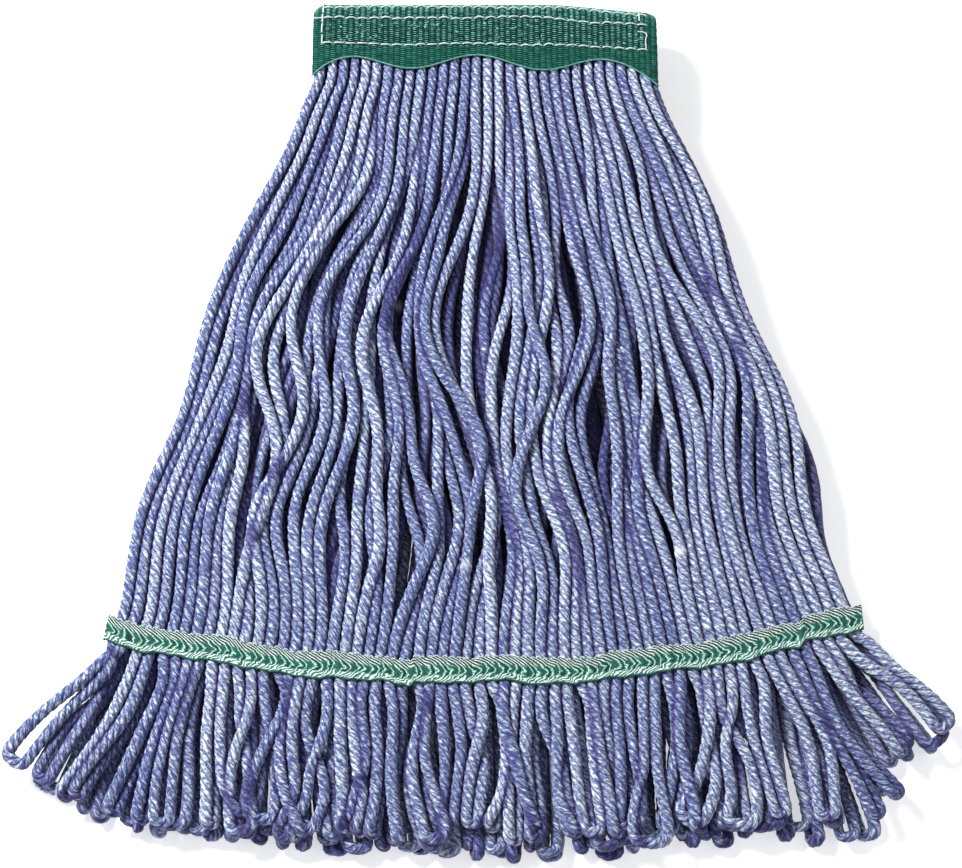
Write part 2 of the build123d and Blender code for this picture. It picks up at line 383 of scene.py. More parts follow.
def sweep(lines, radii, sides, profile=1.0, twistPitch=math.inf, phase=0.0, uvSize=(1.0, 0.004), shade=0.0,
          marks=(), rough=None):
    # closed tubes along many lines at once; lines is (tubes, points, 3), marks are extra values at those points,
    # and rough is (random source, depth, sway of the twist) for soft uneven yarn
    count, points = lines.shape[:2]
    lengths = np.linalg.norm(np.diff(lines, axis=1), axis=2)
    along = np.concatenate([np.zeros((count, 1)), np.cumsum(lengths, axis=1)], axis=1)
    tangent = np.gradient(lines, axis=1)
    tangent /= np.linalg.norm(tangent, axis=2, keepdims=True)
    guide = np.where(np.abs(tangent[:, 0, 2:3]) < 0.9, [[0.0, 0.0, 1.0]], [[0.0, 1.0, 0.0]])
    current = np.cross(tangent[:, 0], guide)
    normal = np.empty_like(lines)
    for k in range(points):
        current = current - (current * tangent[:, k]).sum(axis=1, keepdims=True) * tangent[:, k]
        current /= np.linalg.norm(current, axis=1, keepdims=True)
        normal[:, k] = current
    normal, side = normal[:, :, None], np.cross(tangent, normal)[:, :, None]
    turn = -2 * math.pi * along / twistPitch + np.reshape(phase, (-1, 1))
    bumps = 1
    if rough:
        turn = turn + softNoise(rough[0], points, count, 5, 0).T * rough[2]
        bumps = 1 + rough[0].standard_normal((count, points, sides)) * rough[1]
    angle = (turn[:, :, None] + 2 * math.pi * np.arange(sides) / sides)[..., None]
    reach = (np.broadcast_to(radii, (count, points))[:, :, None] * profile * bumps)[..., None]
    verts = lines[:, :, None] + reach * (np.cos(angle) * normal + np.sin(angle) * side)
    index = np.arange(count * points * sides).reshape(count, points, sides)
    after = np.roll(index, -1, axis=2)
    quads = np.stack([index[:, :-1], after[:, :-1], after[:, 1:], index[:, 1:]], axis=-1).reshape(-1, 4)
    caps = np.concatenate([index[:, 0, ::-1], index[:, -1]], axis=0)
    uvAcross, uvAlong, uvTwist = (*uvSize, math.inf)[:3]
    u, v, slant = np.arange(sides) / sides * uvAcross, along[..., None] / uvAlong, along[..., None] / uvTwist
    before, beyond = slice(None, -1), slice(1, None)
    uv = np.stack([
        joined(u + step + slant[:, rows], v[:, rows])
        for step, rows in ((0, before), (uvAcross / sides, before), (uvAcross / sides, beyond), (0, beyond))
    ], axis=3)
    capUv = np.tile(joined(u, 0.0), (2 * count, 1, 1))
    marks = {"strandShade": np.repeat(np.broadcast_to(shade, count), points * sides),
             **{name: np.repeat(values.reshape(-1), sides) for name, values in dict(marks).items()}}
    faces = ((quads, uv.reshape(-1, 2)), (caps, capUv.reshape(-1, 2)))
    return {"verts": verts.reshape(-1, 3), "faces": faces, "marks": marks}


def fillData(data, label, values, kind=np.float32):
    data.foreach_set(label, np.concatenate(values).astype(kind).reshape(-1))


def makeObject(name, parts, material):
    loops, starts, uvs = [], [], []
    base, place = 0, 0
    for part in parts:
        for faces, uv in part["faces"]:
            loops.append((faces + base).reshape(-1))
            starts.append(place + np.arange(len(faces)) * faces.shape[1])
            place += faces.size
            uvs.append(uv)
        base += len(part["verts"])
    mesh = bpy.data.meshes.new(name)
    mesh.vertices.add(base)
    fillData(mesh.vertices, "co", [part["verts"] for part in parts])
    mesh.loops.add(place)
    fillData(mesh.loops, "vertex_index", loops, np.int32)
    mesh.polygons.add(sum(map(len, starts)))
    fillData(mesh.polygons, "loop_start", starts, np.int32)
    fillData(mesh.uv_layers.new(name="UVMap").data, "uv", uvs)
    mesh.update(calc_edges=True)
    mesh.validate()
    mesh.polygons.foreach_set("use_smooth", [True] * len(mesh.polygons))
    for label in parts[0]["marks"]:
        layer = mesh.attributes.new(label, "FLOAT", "POINT")
        fillData(layer.data, "value", [part["marks"][label] for part in parts])
    mesh.materials.append(material)
    piece = bpy.data.objects.new(name, mesh)
    bpy.context.collection.objects.link(piece)
    return piece


def startSheet(name, steps, rows):
    bpy.ops.object.select_all(action="DESELECT")
    bpy.ops.mesh.primitive_grid_add(x_subdivisions=steps, y_subdivisions=rows, size=2)
    sheet = bpy.context.object
    sheet.name = name
    verts = np.empty(len(sheet.data.vertices) * 3)
    sheet.data.vertices.foreach_get("co", verts)
    return sheet, verts.reshape(-1, 3)


def finishSheet(sheet, places, thickness, material):
    sheet.data.vertices.foreach_set("co", places.reshape(-1))
    sheet.data.update()
    wall = sheet.modifiers.new("cloth", "SOLIDIFY")
    wall.thickness = thickness
    wall.offset = 0
    bpy.ops.object.modifier_apply(modifier=wall.name)
    sheet.data.materials.append(material)


def smoothLines(controls, resolution):
    # NURBS splines through the tubes' guiding points, read back as even lines; controls is (lines, points, 3)
    count, points = controls.shape[:2]
    curve = bpy.data.curves.new("guideLines", "CURVE")
    curve.dimensions = "3D"
    curve.resolution_u = resolution
    for line in controls:
        spline = curve.splines.new("NURBS")
        spline.points.add(points - 1)
        spline.points.foreach_set("co", np.concatenate([line, np.ones((points, 1))], axis=1).reshape(-1))
        spline.order_u = 3
        spline.use_endpoint_u = True
    holder = bpy.data.objects.new("guideLines", curve)
    bpy.context.collection.objects.link(holder)
    graph = bpy.context.evaluated_depsgraph_get()
    mesh = bpy.data.meshes.new_from_object(holder.evaluated_get(graph))
    found = np.empty(len(mesh.vertices) * 3)
    mesh.vertices.foreach_get("co", found)
    bpy.data.objects.remove(holder)
    bpy.data.meshes.remove(mesh)
    return found.reshape(count, -1, 3)


yarn = {
    "radius": 0.0028,
    "strands": 60,  # in each of the two layers of each half
    "locks": 10,
    "innerShare": 0.85,  # pairs of strands of the upper half that have another pair beneath them
    "riders": 0.30,  # share of the sunk strands that lie on top of the others instead
    "twistPitch": 0.0185,
    "wander": 0.0044,
    "sway": 0.0060,
    "middleFringe": 0.0785,
    "fringeFan": 43,
    "neps": 7,
    "seed": 11,
}
halfNames = {1: "upper", -1: "lower"}
bandStations = (foldLineY - 0.0009, foldLineY - 0.012, yarnEdgeY + 0.008)
skirtSteps = 34
fringeSteps = (0.13, 0.28, 0.43, 0.58, 0.73, 0.88)
firstFringe = 5 + skirtSteps
tapeRow = 3 + skirtSteps
tapeDrop = 0.0018
innerRoom = 0.00115  # from the plane between the halves to the strands
outermost = 0.967  # place of the outermost loop, as a share of half the tape
lowerUnder = 0.0011
plyProfiles = {16: np.tile([0.84, 0.965, 1.01, 0.965], 4), 12: np.tile([0.86, 1.0, 0.985], 4), 10: np.full(10, 0.96)}
plies = 4
yarnUv = (plies, 0.0030)
threadUv = (1.0, 0.0012)
stitchUv = (1.0, 0.0010)


def bandPinch(x):
    # the ends of the headband are sewn a little flatter
    return smoothstep(np.abs(x), bandHalf - 0.007, bandHalf + 0.001) * 0.0016


def thickness(y):
    # radius of a strand: held tighter near the headband, fuller lower down
    return yarn["radius"] * (0.91 + 0.13 * smoothstep(-y, -yarnEdgeY, 0.02))


def fanShare(u):
    # how far a loop fans out: more and more towards the ends of the tape
    return (1.0 if u > 0 else -0.84) * min(abs(u) / outermost, 1) ** 5


def fringeLine(u, trim, lean, bend, curl, opening):
    # plan line of a loop from the tape to its tip, and its direction along the way
    end = min(abs(u) / outermost, 1)
    length = yarn["middleFringe"] + (0.011 if u > 0 else 0.005) * u**2 - trim * (1 - end**6)
    if u > 0:
        length += 0.007 * smoothstep(u, 0.70, 0.82) - 0.032 * smoothstep(end, 0.875, 0.945)
    else:
        length -= 0.010 * end**16
    parts = np.linspace(0, 1, 41)
    turn = opening * math.radians(yarn["fringeFan"]) * fanShare(u) * (0.85 + 0.3 * np.sin(math.pi * parts))
    turn = turn + lean * (0.3 + parts) + bend * np.sin(2 * math.pi * parts) + curl * smoothstep(parts, 0.62, 1.0)
    step = joined(np.sin(turn), -np.cos(turn)) * length / 40
    start = np.array([u * (tapeHalf - (0.0 if u > 0 else 0.0006)), tapeLine(u * tapeHalf) - tapeDrop - tapeWidth / 2])
    walked = start + np.concatenate([np.zeros((1, 2)), np.cumsum(step[:-1], axis=0)])
    return parts, walked, turn, length


def layoutSkirt(side, rng, target, low, high):
    # planned line of each strand from the fold to the tape: some sink between their neighbours, some ride over them
    count, radius = yarn["strands"], yarn["radius"]
    spread = (np.arange(count) + 0.5) / count * 2 - 1
    wider = np.where(spread > 0, 0.0, 0.0026) * np.abs(spread)
    atTape = np.zeros((2, count))
    calm = 1.0 if side > 0 else 0.5
    for layer in (0, 1):
        sway = softNoise(rng, firstFringe, count, 3.4, 3.0) * yarn["sway"] * calm
        wander = softNoise(rng, firstFringe, count, 2.4, 0.5) * yarn["wander"] * calm
        depthNoise = softNoise(rng, firstFringe, count, 2.6, 0.3) * 0.10
        shift = (0.0, 0.5, 0.25, -0.25)[layer + (0 if side > 0 else 2)]
        atTape[layer] = np.clip(spread + (shift + rng.uniform(-0.25, 0.25, count)) * 2 / count, -0.986, 0.986)
        even = np.arange(count) % 2
        swapped = np.repeat(rng.random(count // 2) < 0.25, 2)
        evenRank, rank = even + 2.0 * layer, np.where(swapped, 1 - even, even) + 2.0 * layer
        if layer == 0 and side > 0:
            riding = (rank > 0) & (rng.random(count) < yarn["riders"])
            rank[riding] = -0.9
            wander[:, riding] *= 1.6
        for row in range(firstFringe):
            part = min(max((row - 3) / (skirtSteps - 1), 0), 1)
            free = math.sin(math.pi * part) ** 0.6
            loose = smoothstep(part, 0.0, 0.42) * (1 - smoothstep(part, 0.72, 1.0))
            settleIn = smoothstep(part, 0.62, 0.97)
            now = evenRank + (rank - evenRank) * smoothstep(part, 0.06, 0.30)
            if row < 3:
                y = np.full(count, bandStations[row])
                x = (spread + layer * 0.5 / count) * (bandHalf - radius - 0.0008)
            elif row < tapeRow:
                wave = math.sin(math.pi * part)
                ripples = [min(8 * part, 1) * math.cos(2 * math.pi * (part - place) / 0.43) for place in (0.16, 0.20)]
                leftBulge = 0.11 * wave**1.3 - 0.028 * ripples[0]
                rightBulge = 0.04 * wave - 0.045 * part**2 + 0.032 * ripples[1]
                grown = part + np.where(spread > 0, rightBulge, leftBulge)
                halfSpan = bandHalf - 0.0005 + (tapeHalf + wider - bandHalf - 0.001) * grown
                x = (spread + (atTape[layer] - spread) * part) * (halfSpan - radius + 0.0003)
                x = x + (sway[row] + wander[row]) * (0.12 * free + 0.88 * loose) * (1 - 0.85 * np.abs(spread) ** 6)
                y = yarnEdgeY + (tapeLine(atTape[layer] * tapeHalf) - tapeDrop + tapeWidth / 2 - yarnEdgeY) * part
            else:
                x = atTape[layer] * (tapeHalf - 0.0022) - wider
                y = tapeLine(x) - tapeDrop - tapeWidth / 2 * (row - tapeRow)
            planeZ = foldPlaneZ + (tapePlaneZ - foldPlaneZ) * part
            bandOuter = foldPlaneZ + side * (yarnCore - 0.0004 - bandPinch(x) * (row < 4))
            tapeOuter = tapeUnder - 0.0001 if side > 0 else lowerUnder
            outerZ = bandOuter + (tapeOuter - bandOuter) * part
            room = np.abs(outerZ - planeZ) - innerRoom - 2 * radius
            share = np.where(now < 0, now * free, now * (1 - settleIn)) / 3
            share = share + layer * settleIn + depthNoise[row] * free
            z = outerZ - side * (radius + share * room)
            target[row, layer] = joined(x, y, z)
            outer = float(np.mean(outerZ))
            edges = sorted((planeZ + side * (innerRoom + radius), outer - side * radius))
            slack = 0.0045 * free if side > 0 else 0.0
            low[row], high[row] = edges[0], edges[1] + slack
    return atTape


def layoutFringe(side, rng, target, low, high, atTape):
    # loops of two legs, side by side in one layer or one leg from each layer
    count, radius = yarn["strands"], yarn["radius"]
    loops = []
    tops = (tapeUnder, 0.0228, 0.0198, 0.0165) if side > 0 else (lowerUnder, 0.0, 0.0, 0.0008)
    planes = (tapePlaneZ, 0.012, 0.011, 0.011)
    loose = 1.0 if side > 0 else 0.3
    drift = softNoise(rng, 1, count, 0, 2.2)[0] * loose
    ripple = softNoise(rng, len(fringeSteps), count, 1.1, 0) * 0.0021 * loose
    pairPlace = np.abs((np.arange(count // 2) + 0.5) / count * 4 - 1)
    inner = rng.random(count // 2) < (yarn["innerShare"] + 0.7 * (pairPlace > 0.66) if side > 0 else 2)
    for pair in range(count // 2):
        left, right = 2 * pair, 2 * pair + 1
        roll = rng.random()
        if inner[pair] and roll < 0.30:
            members = [((0, left), (1, left), "under"), ((0, right), (1, right), "under")]
        else:
            members = [((0, left), (0, right), "eye" if roll < 0.70 else "tuck")]
            members += [((1, left), (1, right), "eye")] if inner[pair] else []
        if not inner[pair]:
            target[:, 1, [left, right], 0] += (5 + left, 5 + right)  # no strands here: out of the others' way
        for first, second, style in members:
            deep = first[0] + second[0]
            u = (atTape[first] + atTape[second]) / 2
            trim = rng.uniform(*((0.002, 0.013) if side > 0 else (-0.001, 0.005)) if deep < 2 else (0.0, 0.008))
            lean = 0.17 * math.exp(-((u + 0.30) / 0.34) ** 2) + 0.10 * drift[left] + rng.normal(0, 0.075) * loose
            curl = (rng.choice((-0.8, 0.8)) if rng.random() < 0.18 else rng.normal(0, 0.15)) * loose
            # deeper loops fill the corners between the outer ones
            opening, calm = 1 - 0.10 * deep - (0.0 if side > 0 else 0.15), 1 - u**6
            bend = rng.normal(0, 0.09) * loose
            parts, walked, turn, length = fringeLine(u, trim, lean * calm, bend, curl * calm, opening)
            eye = radius * (rng.uniform(1.05, 1.4) if rng.random() < 0.78 else rng.uniform(1.5, 1.6 + loose))
            eye *= 1 + 0.4 * abs(u) ** 8
            startHalf = (atTape[second] - atTape[first]) / 2 * tapeHalf
            swap = -1.0 if style == "eye" and rng.random() < 0.3 else 1.0
            end = 1 - (eye if style == "eye" else radius) * 1.15 / length
            for step, station in enumerate(np.array(fringeSteps) * end / fringeSteps[-1] * 0.97):
                middle = np.array([np.interp(station, parts, walked[:, k]) for k in (0, 1)])
                way = np.interp(station, parts, turn)
                width = startHalf
                flip = 1.0
                if style == "eye":
                    width += (radius * 1.02 - startHalf) * min(station * 3, 1)
                    width += (eye - radius * 1.02) * smoothstep(station, 0.4, 0.92)
                    flip = 1.0 if swap > 0 else float(1 - 2 * smoothstep(station, 0.2, 0.62))
                elif style == "tuck":
                    width += (radius * 0.3 - startHalf) * smoothstep(station, 0.15, 0.75)
                fall = np.interp(station, (0, 0.5, 0.92, 1), (0, 1, 2, 3))
                outerZ, planeZ = np.interp(fall, range(4), tops), np.interp(fall, range(4), planes)
                outerLevel, innerLevel = outerZ - side * (radius + 0.0003), planeZ + side * (radius + 0.0003)
                for (layer, strand), sign in ((first, -1), (second, 1)):
                    offset = width * sign * flip + ripple[step, strand]
                    z = innerLevel if layer else outerLevel
                    if style == "tuck" and sign > 0:
                        z += (innerLevel - outerLevel) * smoothstep(station, 0.1, 0.6)
                    z += side * sign * 0.0022 * (1 - abs(flip)) if swap < 0 else 0.0
                    target[firstFringe + step, layer, strand] = (
                        middle[0] + math.cos(way) * offset, middle[1] + math.sin(way) * offset, z)
                edges = sorted((planeZ + side * radius, outerZ - side * radius))
                low[firstFringe + step] = max(edges[0] - 0.0005, radius * 1.05)
                high[firstFringe + step] = edges[1] + 0.0022
            onward = np.array([math.sin(turn[-1]), -math.cos(turn[-1]), 0])
            loops.append({"lock": pair // 3, "first": first, "second": second, "onward": onward})
    return loops


def settle(target, low, high, rounds):
    # strands push each other apart, station by station, and keep close to their planned lines
    rows = target.shape[0]
    goal = target.reshape(rows, -1, 3)
    points = goal.copy()
    apart = 1.96 * thickness(goal[..., 1].mean(axis=1))[:, None, None]
    same = np.eye(goal.shape[1])[None]
    hold = np.full((rows, 1, 1), 0.010)
    hold[:3] = 0.5
    hold[tapeRow - 1: firstFringe] = 0.30
    hold[firstFringe:] = 0.06
    for turn in range(rounds):
        if turn % 20 == 0:
            # leaning strands need more room across
            across, down = (np.gradient(points[:tapeRow, :, axis], axis=0) for axis in (0, 1))
            upright = np.ones(goal.shape[:2])
            upright[:tapeRow] = np.clip(np.abs(down) / np.hypot(across, down), 0.7, 1)
            narrow = (upright[:, :, None] + upright[:, None]) / 2
        gap = points[:, :, None] - points[:, None]
        distance = np.sqrt((gap[..., 0] * narrow) ** 2 + gap[..., 1] ** 2 + gap[..., 2] ** 2) + same + 1e-6
        push = np.clip(apart - distance, 0, None) / distance * 0.45
        points += (gap * push[..., None]).sum(axis=2)
        off = points - goal
        late = turn > rounds * 0.6  # first long waves, then the last overlaps
        off[1:-1] += (0.05 if late else 0.22) * (off[:-2] - 2 * off[1:-1] + off[2:])
        points = goal + off * (1 - hold * (0.3 if late else 1))
        points[..., 2] = np.clip(points[..., 2], low[:, None], high[:, None])
        top, limit = points[:3, :, 0], bandHalf - 0.0036
        points[:3, :, 0] = np.where(goal[:3, :, 0] < 1, np.clip(top, -limit, limit), top)
    return points.reshape(target.shape)


def depthShadeShare(verts, side):
    # painted shade: how deep each vertex lies beneath the crests of the outermost strands of its half, less in the
    # fringe
    y, z = verts[:, 1], verts[:, 2]
    if side > 0:
        crests = (0.0165, 0.0212, tapeUnder, foldPlaneZ + yarnCore)
        depth = np.interp(y, (-0.222, -0.19, tapeHigh.y, yarnEdgeY), crests) - z
    else:
        depth = z - np.interp(y, (tapeHigh.y, yarnEdgeY), (0.0006, foldPlaneZ - yarnCore))
    inFringe = smoothstep(-y, -tapeHigh.y, 0.02 - tapeLow.y)
    return smoothstep(depth, 0.0007, 0.0090) * (1 - (0.60 if side > 0 else 0.72) * inFringe)


def creaseShadeShare(verts, line, strand, settled):
    # painted shade in the creases: how close each vertex of a tube lies to its neighbours; strand numbers the tube's
    # own strand at each point
    rows = settled.reshape(settled.shape[0], -1, 3)
    points = len(line)
    control = np.arange(points) / (points - 1) * (2 * len(rows) + 1)
    row = np.clip(np.minimum(control, 2 * len(rows) + 1 - control), 0, len(rows) - 1.001)
    before, part = row.astype(int), (row % 1)[:, None, None]
    centres = rows[before] * (1 - part) + rows[before + 1] * part
    ways = rows[before + 1] - rows[before]
    away = np.linalg.norm(centres - line[:, None], axis=2)
    away[np.arange(points), strand] = 9
    near = np.argpartition(away, 4, axis=1)[:, :4, None]
    centres, ways = np.take_along_axis(centres, near, 1)[:, None], np.take_along_axis(ways, near, 1)[:, None]
    ways = ways / (np.linalg.norm(ways, axis=3, keepdims=True) + 1e-9)
    gap = verts.reshape(points, -1, 1, 3) - centres
    distance = np.linalg.norm(gap - (gap * ways).sum(axis=3, keepdims=True) * ways, axis=3).min(axis=2)
    return smoothstep(distance / yarn["radius"], 1.55, 0.95).reshape(-1)


def buildHalf(side):
    name = halfNames[side]
    rng = np.random.default_rng(yarn["seed"] + (0 if side > 0 else 5))
    rows = firstFringe + len(fringeSteps)
    target, low, high = np.zeros((rows, 2, yarn["strands"], 3)), np.zeros(rows), np.zeros(rows)
    atTape = layoutSkirt(side, rng, target, low, high)
    loops = layoutFringe(side, rng, target, low, high, atTape)
    settled = settle(target, low, high, 140)
    lockParts = [[] for _ in range(yarn["locks"])]
    # (is it an outer loop?, sides of the tube, fineness of the line)
    for outside, sides, fineness in ((True, *((16, 5) if side > 0 else (12, 4))), (False, 10, 3)):
        chosen = [loop for loop in loops if (min(loop["first"][0], loop["second"][0]) == 0) == outside]
        guides = []
        for loop in chosen:
            down = settled[:, loop["first"][0], loop["first"][1]]
            up = settled[::-1, loop["second"][0], loop["second"][1]]
            reach = max(np.linalg.norm(down[-1] - up[0]) / 2 * 1.1, yarn["radius"] * 1.1)
            bend = np.array([down[-1] * 0.96 + up[0] * 0.04, up[0] * 0.96 + down[-1] * 0.04]) + loop["onward"] * reach
            bend[:, 2] = np.maximum(bend[:, 2] - (0.0014 if side > 0 else 0.0), yarn["radius"] + 0.0002)
            guides.append(np.concatenate([down, bend, up]))
        lines = smoothLines(np.array(guides), fineness)
        count, points = lines.shape[:2]
        radii = thickness(lines[..., 1]) * (1 + 0.05 * softNoise(rng, points, count, 6, 0).T)
        nep = np.zeros((count, points))
        if outside:
            for _ in range(yarn["neps"]):
                place = rng.integers(points // 8, points * 3 // 8) + rng.choice((0, points // 2))
                nep[rng.integers(count)] += np.exp(-((np.arange(points) - place) / 1.1) ** 2) * rng.uniform(0.4, 0.9)
        radii = radii * (1 + 0.14 * nep)
        turned = rng.uniform(0, 2 * math.pi, count)
        shade = rng.uniform(0, 1, count)
        for lock in range(yarn["locks"]):
            own = np.array([k for k, loop in enumerate(chosen) if loop["lock"] == lock], int)
            if not len(own):
                continue
            tube = sweep(
                lines[own], radii[own], sides, plyProfiles[sides], yarn["twistPitch"] if outside else math.inf,
                turned[own], yarnUv if outside else (*yarnUv, yarn["twistPitch"] / plies), shade[own],
                {"nep": nep[own]}, (rng, 0.026, 0.30))
            lockParts[lock].append(tube)
            creases = []
            for k, verts in zip(own, tube["verts"].reshape(len(own), -1, 3)):
                ends = (chosen[k]["first"], chosen[k]["second"])
                numbers = [layer * yarn["strands"] + strand for layer, strand in ends]
                strand = np.repeat(numbers, (points - points // 2, points // 2))
                creases.append(creaseShadeShare(verts, lines[k], strand, settled))
            # faces turned towards the other half, seen only when the mop is opened, keep most of their colour: they
            # get less of the painted shade
            offset = tube["verts"].reshape(len(own), points, -1, 3)[..., 2] - lines[own][:, :, None, 2]
            inward = smoothstep(-side * offset / yarn["radius"], 0.0, 0.7).reshape(-1)
            # painted shade: darker with depth beneath the crests and where neighbouring strands crowd close
            buried = 1 - (1 - depthShadeShare(tube["verts"], side)) * (1 - 0.7 * np.concatenate(creases))
            tube["marks"]["buried"] = buried * (1 - inward * (0.3 if outside else 0.8))
    for lock, parts in enumerate(lockParts):
        piece = makeObject(f"{name}_yarn_{lock + 1}", parts, yarnMaterial)
        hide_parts(f"{name}_lock_{lock + 1}", *([f"{name}_band_yarn"] if lock == 4 else []))
        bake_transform(piece)
    return settled


upperStrands = buildHalf(1)
lowerStrands = buildHalf(-1)
print("yarn skirt ready")


def endSag(x):
    # the right end of the headband hangs a little lower
    return smoothstep(x, bandHalf - 0.060, bandHalf + 0.004) * 0.0050


def cornerDrop(x):
    # rounded corners of the fold, the left one larger
    drop = 0
    for side, radius in ((-1, 0.0058), (1, 0.0030)):
        part = np.clip((side * x - bandHalf + radius) / radius, 0, 1)
        drop = drop + radius * (1 - np.sqrt(1 - part**2 * 0.96))
    return drop


def bendRoundFold(piece):
    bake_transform(piece)


def buildFoldYarn():
    # the strands' way round the fold, in two nested rows of half rings
    rng = np.random.default_rng(3)
    parts = []
    for reach, count in ((yarnCore - 0.0028, 32), (yarnCore - 0.0080, 31)):
        angle = np.linspace(-math.pi / 2, math.pi / 2, 25)
        x = (np.arange(count) + 0.5) / count * 2 - 1
        lines = np.zeros((count, len(angle), 3))
        lines[..., 0] = (x * (bandHalf - 0.0032))[:, None]
        lines[..., 1] = foldLineY + (reach - cornerDrop(lines[..., 0])) * np.cos(angle) - endSag(lines[..., 0])
        lines[..., 2] = foldPlaneZ + reach * np.sin(angle)
        phase = rng.uniform(0, 6, count)
        shade = rng.uniform(0, 1, count)
        parts.append(sweep(lines, 0.0026, 12, plyProfiles[12], yarn["twistPitch"], phase, yarnUv, shade))
    piece = makeObject("fold_yarn_rings", parts, yarnMaterial)
    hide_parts("fold_yarn")
    bendRoundFold(piece)


buildFoldYarn()

band = {
    "sheetRadius": foldRadius - 0.0009,
    "column": 0.00295,
    "rung": 0.00118,
    "edgeMiddle": 0.0415,  # plan distance from the foremost line to the scalloped edge
    "scallop": 0.0040,
    "scallopPitch": 0.066,
    "hemStart": 0.0325,
    "endStrip": 0.0060,  # width of the doubled strip at each end
}
quarterPath = band["sheetRadius"] * math.pi / 2


def bandEdge(x):
    # scalloped lower edge, as a distance from the foremost line of the fold
    u = x / bandHalf
    drop = band["edgeMiddle"] - band["scallop"] * np.cos(2 * math.pi * (x + 0.004) / band["scallopPitch"])
    return drop + 0.0080 * np.abs(u) ** 6 + 0.0012 * u


def bandSurface(x, path, offset=0.0):
    # point of the mesh's surface; path runs round the fold from the foremost line, positive on the upper half
    angle = np.clip(path / band["sheetRadius"], -math.pi / 2, math.pi / 2)
    rest = np.clip(np.abs(path) - quarterPath, 0, None)
    reach = band["sheetRadius"] + offset - bandPinch(x)
    y = foldLineY + (reach - cornerDrop(x)) * np.cos(angle) - rest - endSag(x) * np.exp(-rest / 0.018)
    z = foldPlaneZ + reach * np.sin(angle)
    return joined(x, y, z)


def edgePath(x):
    return bandEdge(x) - foldRadius + quarterPath


def turnPath(degrees):
    return math.radians(degrees) * band["sheetRadius"]


def hemShare(x, path):
    # 1 where the mesh is doubled: along the lower edge and at both ends
    fade, hem, end = 0.0006, quarterPath + band["hemStart"] - foldRadius, bandHalf - band["endStrip"]
    low = smoothstep(np.abs(path), hem - fade, hem + fade)
    return np.maximum(low, smoothstep(np.abs(x), end - fade, end + fade))


def buildBandShadeSheet():
    # painted shade: a dark sheet under the mesh threads that stands for the shadowed holes
    sheet, verts = startSheet("headband_hole_shade", 120, 110)
    x = np.sin(verts[:, 0] * math.pi / 2) * (bandHalf - 0.0004)
    path = verts[:, 1] * (edgePath(x) - 0.0006)
    doubled = sheet.data.attributes.new("hemShare", "FLOAT", "POINT")
    doubled.data.foreach_set("value", hemShare(x, path).astype(np.float32))
    finishSheet(sheet, bandSurface(x, path, -0.0002), 0.0004, holeShadeMaterial)
    bpy.ops.object.mode_set(mode="EDIT")
    bpy.ops.mesh.select_all(action="SELECT")
    bpy.ops.mesh.normals_make_consistent(inside=False)
    bpy.ops.object.mode_set(mode="OBJECT")
    bpy.ops.object.shade_smooth()
    return sheet


def buildBandMesh():
    # recessed columns run round the fold, and short raised dashes are stacked between them
    sheet = buildBandShadeSheet()
    rng = np.random.default_rng(8)
    count = int(2 * bandHalf / band["column"])
    xs = (np.arange(count + 1) / count * 2 - 1) * (bandHalf - 0.0006)
    share = np.linspace(-1, 1, 71)
    waved = xs[:, None] + 0.00015 * np.sin(share * 70 + xs[:, None] * 900)
    lines = bandSurface(waved, share * edgePath(xs)[:, None], 0.00002)
    pieces = [makeObject("headband_columns", [sweep(lines, 0.00026, 5, uvSize=threadUv)], meshMaterial)]
    steps = np.array([0.14, 0.38, 0.66, 0.90])
    taper = np.array([0.55, 1.0, 1.0, 0.55])
    rows = int(float(edgePath(bandHalf)) / band["rung"]) + 1
    for half, name in halfNames.items():
        # one dash for each column and rung, thicker and wider where the mesh is doubled
        column, row = (grid.reshape(-1) for grid in np.meshgrid(np.arange(count), np.arange(rows)))
        centre = xs[column] + band["column"] / 2
        path = (row + 0.5) * band["rung"] + 0.00035 * np.sin(column * 2.4) + rng.normal(0, 0.00006, len(row))
        kept = path < edgePath(centre) - 0.0003
        column, centre, path = column[kept], centre[kept], path[kept]
        doubled = hemShare(centre, path)
        reach = (steps[None] - 0.52) * (1 + 0.34 * doubled[:, None])
        tilt = 0.00032 + rng.normal(0, 0.00020, len(path))
        lift = 0.00014 - 0.0006 * np.abs(steps - 0.52) ** 1.3
        leaning = half * (path[:, None] + tilt[:, None] * reach)
        lines = bandSurface(centre[:, None] + reach * (xs[1] - xs[0]), leaning, lift[None])
        thick = (0.00027 + 0.00012 * doubled + rng.normal(0, 0.00003, len(path)))[:, None] * taper
        for label, own, material in (("dashes", doubled < 0.5, dashMaterial), ("hem", doubled >= 0.5, hemMaterial)):
            dashes = sweep(lines[own], thick[own], 4, uvSize=(1.0, 0.0032), shade=rng.uniform(0, 1, own.sum()))
            pieces.append(makeObject(f"headband_{label}_{name}", [dashes], material))
        edgeX = np.linspace(-bandHalf, bandHalf, 220)
        edge = bandSurface(edgeX, half * (edgePath(edgeX) + 0.0001), 0.0002)[None]
        pieces.append(makeObject(f"headband_edge_{name}", [sweep(edge, 0.00045, 6, uvSize=threadUv)], edgeMaterial))
    for piece in (sheet, *pieces):
        bendRoundFold(piece)
    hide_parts("fold_mesh", "upper_outer_mesh", "lower_outer_mesh")


buildBandMesh()
print("headband mesh ready")

stitches = {
    "pitch": 0.0059,
    "length": 0.0054,
    "radius": 0.00044,
    "rows": (turnPath(53), turnPath(82), quarterPath + 0.0316 - foldRadius),
}


def stitchLines(places, rng):
    # arched dashes between the given places of the mesh, each (x, path) to (x, path)
    steps = np.linspace(0, 1, 9)
    ends = np.array(places)
    x, path = (ends[:, k, None] + (ends[:, k + 2] - ends[:, k])[:, None] * steps for k in (0, 1))
    path = path + rng.normal(0, 0.0002, (len(ends), 1))
    path = path + rng.normal(0, 0.00022, (len(ends), 1)) * np.sin(math.pi * steps)
    return bandSurface(x, path, -0.0004 + 0.0014 * np.sin(math.pi * steps) ** 0.6)


